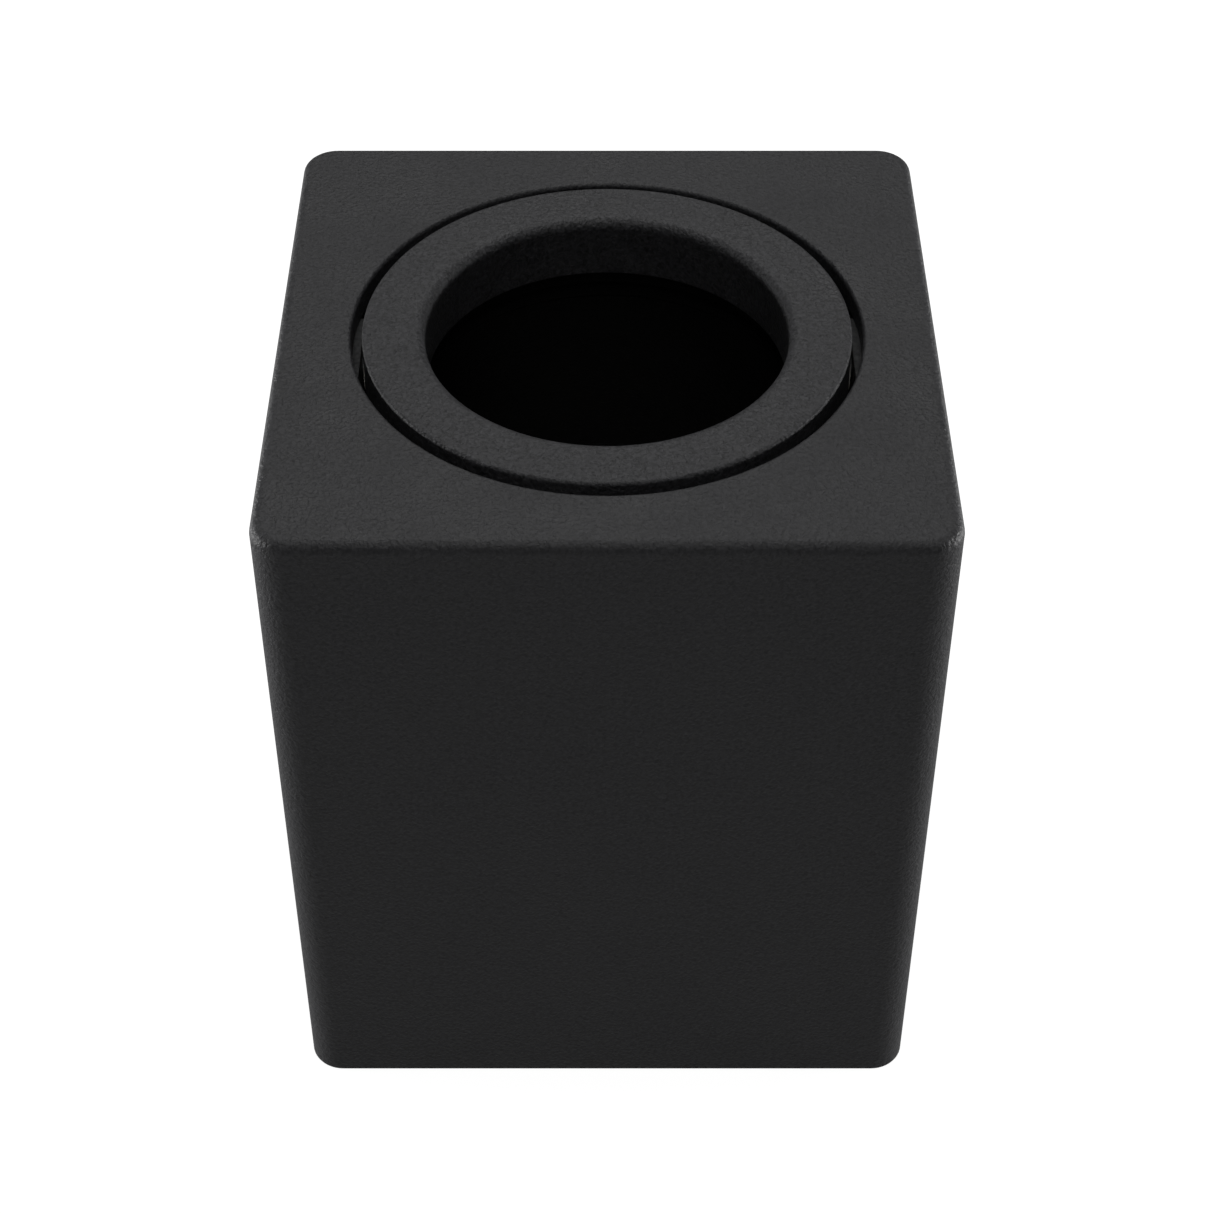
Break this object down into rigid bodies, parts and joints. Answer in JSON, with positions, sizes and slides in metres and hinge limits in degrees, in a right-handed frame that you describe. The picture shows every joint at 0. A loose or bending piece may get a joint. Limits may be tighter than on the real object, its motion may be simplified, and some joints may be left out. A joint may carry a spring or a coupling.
{
  "type": "surface-mounted ceiling spotlight",
  "caption": "Square black surface-mounted spotlight housing with a round friction-held tilting ring, a bayonet lamp holder, a terminal block and a ceiling mounting plate.",
  "frame": {"origin": "centre of the mounting face, which lies on the bench in this pose and against the ceiling in use", "axes": "+Z out of the mounting face towards the light's opening, +Y to the back, +X to the right, along the tilt axis"},
  "size_m": [0.085, 0.085, 0.1009],
  "materials": {
    "powder_coat_black": "matt fine-texture black powder coat",
    "blackened_steel": "satin black, electrophoretic paint on stamped steel",
    "spring_steel": "bright drawn spring steel",
    "zinc_plated_steel": "blue-passivated zinc plate",
    "steatite_ceramic": "unglazed pressed steatite",
    "brass": "turned and stamped brass",
    "white_nylon": "satin moulded PA66",
    "black_rubber": "matt moulded rubber",
    "lead_brown": "silicone insulation, satin",
    "lead_blue": "silicone insulation, satin",
    "lead_green_yellow": "PVC insulation, green with a yellow stripe"
  },
  "bodies": {
    "housing": {"housing_shell": "powder_coat_black", "pivot_frame": "blackened_steel", "push_nut_1": "spring_steel", "push_nut_2": "spring_steel", "push_nut_3": "spring_steel", "push_nut_4": "spring_steel", "friction_washer_left": "white_nylon", "friction_washer_right": "white_nylon", "spring_washer_left": "spring_steel", "spring_washer_right": "spring_steel", "mounting_plate": "zinc_plated_steel", "side_screw_left": "blackened_steel", "side_screw_right": "blackened_steel", "cable_grommet": "black_rubber", "terminal_block": "white_nylon", "terminal_fixing_screw": "zinc_plated_steel", "clamp_screw_live_supply": "brass", "clamp_screw_live_lamp": "brass", "clamp_screw_earth_supply": "brass", "clamp_screw_earth_lamp": "brass", "clamp_screw_neutral_supply": "brass", "clamp_screw_neutral_lamp": "brass", "earth_stud": "zinc_plated_steel", "earth_washer": "spring_steel", "earth_tag": "zinc_plated_steel", "earth_nut": "zinc_plated_steel", "lead_earth": "lead_green_yellow", "lead_live": "lead_brown", "lead_neutral": "lead_blue"},
    "tilt_head": {"tilt_ring": "powder_coat_black", "lamp_sleeve": "powder_coat_black", "lamp_clip": "spring_steel", "lamp_bracket": "blackened_steel", "bracket_screw_left": "blackened_steel", "bracket_screw_right": "blackened_steel", "pivot_screw_left": "spring_steel", "pivot_screw_right": "spring_steel", "holder_body": "steatite_ceramic", "holder_cover": "steatite_ceramic", "holder_screw_left": "zinc_plated_steel", "holder_screw_right": "zinc_plated_steel", "holder_nut_left": "zinc_plated_steel", "holder_nut_right": "zinc_plated_steel", "contact_leaf_left": "brass", "contact_leaf_right": "brass"}
  },
  "joints": [
    {"name": "ring_tilt", "type": "hinge", "parent": "housing", "child": "tilt_head", "pos_m": [0, 0, 0.094], "axis": [1, 0, 0], "range_deg": [-25, 25], "deforming": ["lead_live", "lead_neutral"]}
  ]
}
